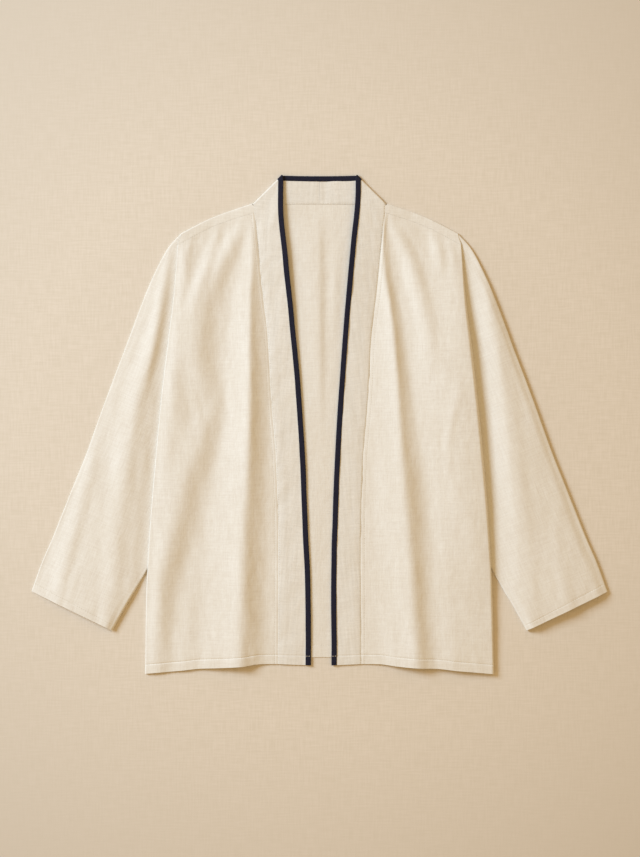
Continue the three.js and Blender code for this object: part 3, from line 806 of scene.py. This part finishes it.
def front_panel(side, linen):
    x, y = front_fields(side)
    shape = front_height(side, x, y)
    to_hem = eased((SOFT["from_y"] - y) / SOFT["over"])
    soft = mix(softened(shape, SOFT["top"]), softened(shape, SOFT["hem"]), to_hem)
    from_top = (FRONT_RISES[-1] - FRONT_RISES)[:, None]
    z = front_detail(side, x, y, mix(shape, soft, eased(from_top / SOFT["below_seam"])))
    last, edge_y, height = x[:, -1:], y[:, -1:], z[:, -1:]
    tuck = tuck_rest(edge_y)
    radius = (height - tuck) / 2
    angle = half_turn(SIDE_ROLL_STEPS)
    inner = mix(last, back_edge(edge_y) + SEAM_GAP / 2, TUCK_SHARES)
    all_x = np.concatenate([x, last + radius * np.sin(angle), inner], axis=1)
    all_z = np.concatenate([
        z, height - radius * (1 - np.cos(angle)), np.broadcast_to(tuck, inner.shape),
    ], axis=1)
    turned_y = np.broadcast_to(edge_y, (len(y), len(angle) + len(TUCK_SHARES)))
    all_y = np.concatenate([y, turned_y], axis=1)
    grid = np.stack([SIDES[side] * all_x, all_y, all_z], axis=2)
    return cloth(f"front_cloth_{side}", grid, CLOTH, linen), grid


# ---- Sleeves ----
LAST_SECTION = len(SLEEVE_SECTIONS) - 1
SECTION_LENGTH = 44
SLEEVE_STEPS = stations(
    (0, 11.55, 0.085), (11.55, 11.66, 0.04), (11.66, 11.78, 0.012), (11.78, LAST_SECTION, 0.04),
)
FROM_CUFF = (LAST_SECTION - SLEEVE_STEPS[:, None]) * SECTION_LENGTH
LOWER_SHARES = np.linspace(0, 1, 15)
UPPER_SHARES = np.linspace(0, 1, 92)[1:]
FOLD_STEPS = 10
UNDER_STEPS = 7
CUFF_STITCH_COLUMNS = slice(20, 112)
BESIDE_SHOULDER = {"from": -5, "over": 4}
SLEEVE_OPENS = 14
EDGE_RISES = 15
CUFF_PUCKERS = 9
# The upper layer's small shapes grow over these shares of its width, from its fold and seam.
SLEEVE_FLAT = {"fold": 1 / 26, "seam": 1 / 18, "hem": 1 / 30}
SLEEVE_SOFT = 6


def sleeve_rise(side, x, y):
    start, over = SLEEVE_RISE[side]
    return eased((x - side_edge(y) - start) / over)


def sleeve_outline():
    """X and Y of the top fold, then of the under seam, at each step from armhole to cuff."""
    numbers = range(len(SLEEVE_SECTIONS))
    lines = [smooth_line(list(zip(numbers, values))) for values in zip(*SLEEVE_SECTIONS)]
    return [line(SLEEVE_STEPS)[:, None] for line in lines]


def sleeve_height(side, x, y, from_fold, fold_roll, under_roll):
    """Height of the upper layer, whose shares run from the top fold to the under seam."""
    clear = sleeve_rise(side, x, y)
    above_shoulder = y - shoulder_fold(side, SHOULDER_END) - BESIDE_SHOULDER["from"]
    beside_fold = 1 - eased(from_fold / SLEEVE_OPENS)
    opened = np.maximum(clear, eased(above_shoulder / BESIDE_SHOULDER["over"]))
    opened = np.maximum(opened, beside_fold)
    open_roll = mix(fold_roll, under_roll, eased(UPPER_SHARES))
    base = BACK_REST + 2 * mix(under_roll, open_roll, opened)

    real_x = SIDES[side] * x
    near = {"hem": fading(FROM_CUFF - HEM["cuff"]["up"], CUFF_PUCKERS)}
    high = SLEEVE_CROWN * np.sin(UPPER_SHARES * math.pi)
    high = high + SLEEVE_FOLD_SHARE[side] * folds(SLEEVE_FOLDS[side], real_x, y)
    high = high + rumples(SLEEVE_RUMPLES, real_x, y, SEEDS["sleeve"][side], near)
    high = high + SLEEVE_EDGE_RISE[side] * eased(from_fold / EDGE_RISES)
    off_seam = eased((1 - UPPER_SHARES) / SLEEVE_FLAT["seam"])
    off_fold = eased(UPPER_SHARES / SLEEVE_FLAT["fold"])
    high = softened(high * clear * off_seam * off_fold, SLEEVE_SOFT)
    hem = hem_step("cuff", FROM_CUFF) * eased(UPPER_SHARES / SLEEVE_FLAT["hem"])
    return base + high + hem + hem_groove("cuff", FROM_CUFF)


def sleeve(side, linen):
    top_x, top_y, under_x, under_y = sleeve_outline()
    width = np.hypot(top_x - under_x, top_y - under_y)
    way_x, way_y = (top_x - under_x) / width, (top_y - under_y) / width
    fold_roll = mix(SLEEVE_HEAD_ROLL[side], SLEEVE_FOLD_ROLL[side], sleeve_rise(side, top_x, top_y))
    under_roll = mix(SLEEVE_ROLL, SLEEVE_UNDER_ROLL, sleeve_rise(side, under_x, under_y))
    near, far = under_roll + CLOTH / 2, width - fold_roll - CLOTH / 2
    upper = mix(far, near, UPPER_SHARES)
    x, y = under_x + way_x * upper, under_y + way_y * upper
    height = sleeve_height(side, x, y, far - upper, fold_roll, under_roll)

    def layer(reach, z):
        """Points this far up from the under seam, at this height."""
        reach, z, _ = np.broadcast_arrays(reach, z, width)
        real_x = SIDES[side] * (under_x + way_x * reach)
        return np.stack([real_x, under_y + way_y * reach, z], axis=2)

    def roll(middle, radius, angle):
        return layer(middle + radius * np.sin(angle), BACK_REST + radius * (1 - np.cos(angle)))

    grid = np.concatenate([
        layer(mix(near + SEAM_GAP, far, LOWER_SHARES), BACK_REST),
        roll(far, fold_roll, half_turn(FOLD_STEPS)),
        layer(upper, height),
        roll(near, under_roll, math.pi + half_turn(UNDER_STEPS)),
    ], axis=1)
    return cloth(f"sleeve_cloth_{side}", grid, CLOTH, linen), grid


# ---- Band and its binding ----
BAND_SHARES = np.array([0, 0.03, 0.06, 0.1, 0.14, 0.19, 0.24, 0.29, 0.35, 0.42, 0.5, 0.58, 0.66,
                        0.74, 0.8, 0.86, 0.91, 0.96, 1.0])
BAND_RUN = stations((0, 0.975, 0.0036), (0.975, 0.984, 0.0009), (0.984, 1, 0.002))[1:]
STAND_RUN = stations((0, 1, 0.028))
TURN_SEAM = np.array([band_seam(NECK_TURN["seam_y"]) - BAND_GAP / 2, NECK_TURN["seam_y"]])
TURN_EDGE = np.array([NECK_TURN["edge_x"], NECK_TURN["edge_y"]])
TURN_SETTLES = {"within": 0.25, "power": 4}
TURN_STEPS = 14
EDGE_WAVE = {"height": 0.25, "along": 34, "across": 50}
BAND_CROWN = {"height": 0.35, "over": 0.78}
BAND_PUCKERS = {"seam": 6, "binding_at": 35, "binding_half": 4}
# The seam allowances inside the band: how wide they are, and the step over their edge.
ALLOWANCE = {"width": 13.5, "step": 0.22, "over": 1.6}
BAND_SEAM_DIP = {"depth": 0.35, "half": 1.2}
EDGE_FLAT = 9
BAND_STITCH_COLUMN = 1
STAND_DENTS = {"height": 0.35, "uneven": 0.3, "across": 16, "along": 12, "middle": 7, "seam": 5}


def stand_lines():
    """Seam and edge of the stand, from the centre back to the turn."""
    t = STAND_RUN
    seam_x = mix(SEAM_GAP / 2, TURN_SEAM[0], t)
    edge_x = mix(SEAM_GAP / 2, TURN_EDGE[0], t)
    edge_y = mix(STAND_MIDDLE, TURN_EDGE[1], t * t)
    level = np.ones(len(t))
    seam = np.stack([seam_x, neck_seam(seam_x) + SEAM_GAP, STAND_LIFT["seam"] * level], axis=1)
    edge = np.stack([edge_x, edge_y, STAND_LIFT["edge"] * level], axis=1)
    return seam, edge


def turn_line(spot, low, high):
    """A half circle from the stand up to the front of the band, square to the slanting fold."""
    slant = TURN_EDGE - TURN_SEAM
    outward = np.array([slant[1], -slant[0]]) / np.hypot(*slant)
    radius = (high - low) / 2
    angle = half_turn(TURN_STEPS)[:, None]
    place = spot + outward * radius * np.sin(angle)
    return np.concatenate([place, low + radius * (1 - np.cos(angle))], axis=1)


def front_lines(side):
    """Seam and edge of the band from the turn down to the hem."""
    seam_y = mix(TURN_SEAM[1], front_hem(band_seam(FRONT_CORNERS["band_hem"])), BAND_RUN)
    edge_y = mix(TURN_EDGE[1], front_hem(EDGE_AT_HEM), BAND_RUN)
    near_turn = (1 - eased(BAND_RUN / TURN_SETTLES["within"])) ** TURN_SETTLES["power"]
    edge_x = mix(smooth_line(OPENING[side])(edge_y) + BAND_INSET, TURN_EDGE[0], near_turn)
    wave = swell(edge_y, 0, EDGE_WAVE["along"], EDGE_WAVE["across"], SEEDS["edge"][side])
    edge_x = edge_x + EDGE_WAVE["height"] * wave * (1 - near_turn)
    seam = np.stack([band_seam(seam_y) - BAND_GAP / 2, seam_y, seam_lift(seam_y)], axis=1)
    edge = np.stack([edge_x, edge_y, edge_lift(edge_y)], axis=1)
    return seam, edge


def band_lines(side):
    """Seam and edge of the whole band, from the centre back round the neck to the hem."""
    stand_seam, stand_edge = stand_lines()
    turn_seam = turn_line(TURN_SEAM, STAND_LIFT["seam"], seam_lift(BAND_TOP))
    turn_edge = turn_line(TURN_EDGE, STAND_LIFT["edge"], edge_lift(BAND_TOP))
    front_seam, front_edge = front_lines(side)
    way = (SIDES[side], 1, 1)
    seam = np.concatenate([stand_seam, turn_seam, front_seam]) * way
    edge = np.concatenate([stand_edge, turn_edge, front_edge]) * way
    return seam, edge


def band_relief(side, run, gap):
    """How far the band's face stands off its flat form, along its run and across its width."""
    near = {
        "seam": fading(gap, BAND_PUCKERS["seam"]),
        "binding": bump_at(gap - BAND_PUCKERS["binding_at"], BAND_PUCKERS["binding_half"]),
    }
    inside_edge = eased((BAND_WIDTH - gap) / EDGE_FLAT)
    crown = np.sin(np.clip(BAND_SHARES / BAND_CROWN["over"], 0, 1) * math.pi)
    lift = BAND_CROWN["height"] * crown + rumples(BAND_RUMPLES, run, gap, SEEDS["band"][side], near)
    lift = lift + ALLOWANCE["step"] * eased((ALLOWANCE["width"] - gap) / ALLOWANCE["over"])
    from_hem = run[-1] - run
    lift = (lift + hem_step("band", from_hem) + hem_groove("band", from_hem)) * inside_edge
    return lift - BAND_SEAM_DIP["depth"] * bump_at(gap, BAND_SEAM_DIP["half"])


def stand_relief(side, grid, gap):
    """Soft dents in the stand, which is seen from its inner side."""
    x, y = grid[..., 0], grid[..., 1]
    seed = SEEDS["band"][side] + len(BAND_RUMPLES)
    uneven = swell(x, y, STAND_DENTS["across"], STAND_DENTS["along"], seed)
    dents = STAND_DENTS["height"] + STAND_DENTS["uneven"] * uneven
    dents = dents * eased(np.abs(x) / STAND_DENTS["middle"])
    dents = dents - STAND_DIMPLE["depth"] * bump_at(x - STAND_DIMPLE["x"], STAND_DIMPLE["half"])
    return dents * eased(gap / STAND_DENTS["seam"]) * eased((BAND_WIDTH - gap) / EDGE_FLAT)


def band(side, linen):
    seam, edge = band_lines(side)
    grid = mix(seam[:, None, :], edge[:, None, :], BAND_SHARES[None, :, None])
    run = run_along((seam + edge) / 2)[:, None]
    gap = BAND_SHARES[None, :] * BAND_WIDTH
    outward = facing(grid) * -SIDES[side]
    shows_face = np.clip(outward[..., 2], 0, 1)
    grid = grid + outward * (band_relief(side, run, gap) * shows_face)[..., None]
    grid[..., 2] += stand_relief(side, grid, gap) * np.clip(-outward[..., 2], 0, 1)
    return cloth(f"band_cloth_{side}", grid, BAND_CLOTH, linen), grid


# The tape's section from its upper edge, round the band's edge, to its lower edge. Each row:
# share of the leg, less mm, height from the band's middle, share of the swelling.
TAPE_ROUND = [
    (0, BINDING_HALF * math.sin(angle), BINDING_HALF * math.cos(angle), 0)
    for angle in np.linspace(0, math.pi, 9)
]
TAPE_SECTION = [
    (1, 0, BINDING_HALF - 0.2, 0), (1, 0.7, BINDING_HALF, 0), (0.72, 0, BINDING_HALF, 1),
    (0.4, 0, BINDING_HALF, 1), (0.1, 0, BINDING_HALF, 0.4), *TAPE_ROUND,
    (0.12, 0, -BINDING_HALF, -0.4), (0.45, 0, -BINDING_HALF, -1),
    (1, 0.7, -BINDING_HALF - 0.12, 0), (1, 0, -BINDING_HALF, 0),
]
TAPE_SWELLING = {"least": 0.1, "uneven": 0.10, "along": 9}
TAPE_WAVE = {"height": 0.22, "along": 30}
SWELL_ACROSS = 30
# The columns on which the tape's stitches show: the stand shows one side, the fronts the other.
STAND_STITCH_COLUMN = 1
FRONT_STITCH_COLUMN = 16
HEM_STITCH_COLUMNS = slice(12, None)


def turn_rows():
    """The rows of the band's lines at which its turn starts and ends."""
    return len(STAND_RUN), len(STAND_RUN) + TURN_STEPS


def binding(side, tape):
    seam, edge = band_lines(side)
    along = unit(np.gradient(edge, axis=0))
    inward = unit(seam - edge)
    across = np.cross(along, inward)
    number = np.arange(len(edge))
    turn_start, turn_end = turn_rows()
    straight = (number < turn_start - 1) | (number > turn_end)
    sine = np.linalg.norm(across, axis=1)
    slant = np.interp(number, number[straight], 1 / sine[straight])
    wrap = np.where(straight, 1, CORNER_WRAP)
    up = unit(across) * -SIDES[side]
    reach = run_along(edge)
    seed = SEEDS["binding"][side]
    wave = swell(reach, 0, TAPE_WAVE["along"], SWELL_ACROSS, seed)
    leg = BINDING_REACH - BAND_INSET + TAPE_WAVE["height"] * wave
    bulge = swell(reach, 0, TAPE_SWELLING["along"], SWELL_ACROSS, seed + 1)
    swollen = TAPE_SWELLING["least"] + TAPE_SWELLING["uneven"] * bulge
    rows = []
    for share, less, height, swelling in TAPE_SECTION:
        depth = share * leg - less
        depth = np.where(depth > 0, slant, wrap) * depth
        rows.append(edge + inward * depth[:, None] + up * (height + swelling * swollen)[:, None])
    grid = np.stack(rows, axis=1)
    return cloth(f"binding_tape_{side}", grid, TAPE, tape), grid


# ---- Camera, light and floor ----
CAMERA_AT = (0.7, -6.4, 2500.0)
VIEW_HEIGHT = 1217.0
SENSOR = 36.0


def set_camera():
    data = bpy.data.cameras.new("camera")
    data.lens = SENSOR * CAMERA_AT[2] / VIEW_HEIGHT
    data.sensor_width = SENSOR
    camera = bpy.data.objects.new("camera", data)
    camera.location = [value * MM for value in CAMERA_AT]
    bpy.context.scene.collection.objects.link(camera)
    bpy.context.scene.camera = camera


LAMP = {"at": (-3900, 2100, 2550), "size": 1900, "watts": 300, "colour": "#cfe7ff"}
SKY_COLOUR = "#ceb081"


def set_light():
    data = bpy.data.lights.new("soft lamp", "AREA")
    data.shape = "SQUARE"
    data.size = LAMP["size"] * MM
    data.energy = LAMP["watts"]
    data.color = linear(LAMP["colour"])[:3]
    lamp = bpy.data.objects.new("soft lamp", data)
    lamp.location = [value * MM for value in LAMP["at"]]
    lamp.rotation_euler = (-lamp.location).to_track_quat("-Z", "Y").to_euler()
    bpy.context.scene.collection.objects.link(lamp)
    world = bpy.data.worlds.new("studio")
    world.use_nodes = True
    background = world.node_tree.nodes["Background"]
    background.inputs["Color"].default_value = linear(SKY_COLOUR)
    background.inputs["Strength"].default_value = 1.0
    bpy.context.scene.world = world
    bpy.context.scene.view_settings.view_transform = "Standard"


FLOOR_HALF = 4000


def set_floor():
    mesh = bpy.data.meshes.new("floor")
    half = FLOOR_HALF * MM
    corners = [(-half, -half, 0), (half, -half, 0), (half, half, 0), (-half, half, 0)]
    mesh.from_pydata(corners, [], [(0, 1, 2, 3)])
    mesh.materials.append(ground_cotton())
    floor = bpy.data.objects.new("floor", mesh)
    bpy.context.scene.collection.objects.link(floor)


# ---- The shirt ----
set_camera()
set_light()
set_floor()

# Degrees by which the threads of the sleeves and of the band slant.
SLEEVE_GRAIN = 22
BAND_GRAIN = 5
body_linen = slub_linen("slub linen, body", 0)
sleeve_linen = {
    side: slub_linen(f"slub linen, {side} sleeve", -sign * SLEEVE_GRAIN)
    for side, sign in SIDES.items()
}
band_linen = {
    side: slub_linen(f"slub linen, {side} band", -sign * BAND_GRAIN, BAND_THREADS, BAND_SLUB)
    for side, sign in SIDES.items()
}
navy = navy_cotton()
natural_thread = sewing_thread("natural sewing thread", "#e0d8c7", "#cdc2af")
navy_thread = sewing_thread("navy sewing thread", "#1d2036", "#0f1223")


def declare(node_name):
    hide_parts(node_name)


def natural_stitches(name, lines, radius=STITCH["radius"]):
    return stitches(f"stitches_{name}", lines, natural_thread, radius)


def row_at(values, wanted):
    return int(np.argmin(np.abs(values - wanted)))


def sew_back():
    piece, grid = back_panel(body_linen)
    line = on_top(grid, CLOTH, column=row_at(BACK_RISES, HEM["back"]["up"]))
    trims = [natural_stitches("back_hem", [line])]
    declare("back_panel")
    return piece


def sew_front(side):
    piece, grid = front_panel(side, body_linen)
    hem_row = row_at(FRONT_RISES, HEM["front"]["up"])
    seam_column = row_at(FRONT_GAPS, BAND_STITCH_OUT)
    lines = [
        on_top(grid, CLOTH, row=hem_row, column=FRONT_HEM_COLUMNS),
        on_top(grid, CLOTH, column=seam_column),
    ]
    trims = [natural_stitches(f"front_{side}", lines)]
    declare(f"front_panel_{side}")


def sew_sleeve(side):
    piece, grid = sleeve(side, sleeve_linen[side])
    cuff_row = row_at(FROM_CUFF, HEM["cuff"]["up"])
    line = on_top(grid, CLOTH, row=cuff_row, column=CUFF_STITCH_COLUMNS)
    trims = [natural_stitches(f"cuff_{side}", [line])]
    declare(f"sleeve_{side}")


def sew_band(side):
    piece, grid = band(side, band_linen[side])
    line = on_top(grid, BAND_CLOTH, column=BAND_STITCH_COLUMN)
    trims = [natural_stitches(f"band_{side}", [line])]
    declare(f"band_{side}")
    return piece


def sew_binding(side):
    piece, grid = binding(side, navy)
    turn_start, turn_end = turn_rows()
    lines = [
        on_top(grid, TAPE, row=slice(0, turn_start), column=STAND_STITCH_COLUMN),
        on_top(grid, TAPE, row=slice(turn_end, None), column=FRONT_STITCH_COLUMN),
    ]
    along = stitches(f"stitches_binding_{side}", lines, navy_thread)
    hem_row = row_at(grid[:, 0, 1], front_hem(EDGE_AT_HEM) + HEM["band"]["up"])
    line = on_top(grid, TAPE, row=hem_row, column=HEM_STITCH_COLUMNS)
    across = natural_stitches(f"band_hem_{side}", [line], STITCH["heavy"])
    declare(f"binding_{side}")


back = sew_back()
for side in SIDES:
    sew_front(side)
    sew_sleeve(side)
    strip = sew_band(side)
    sew_binding(side)
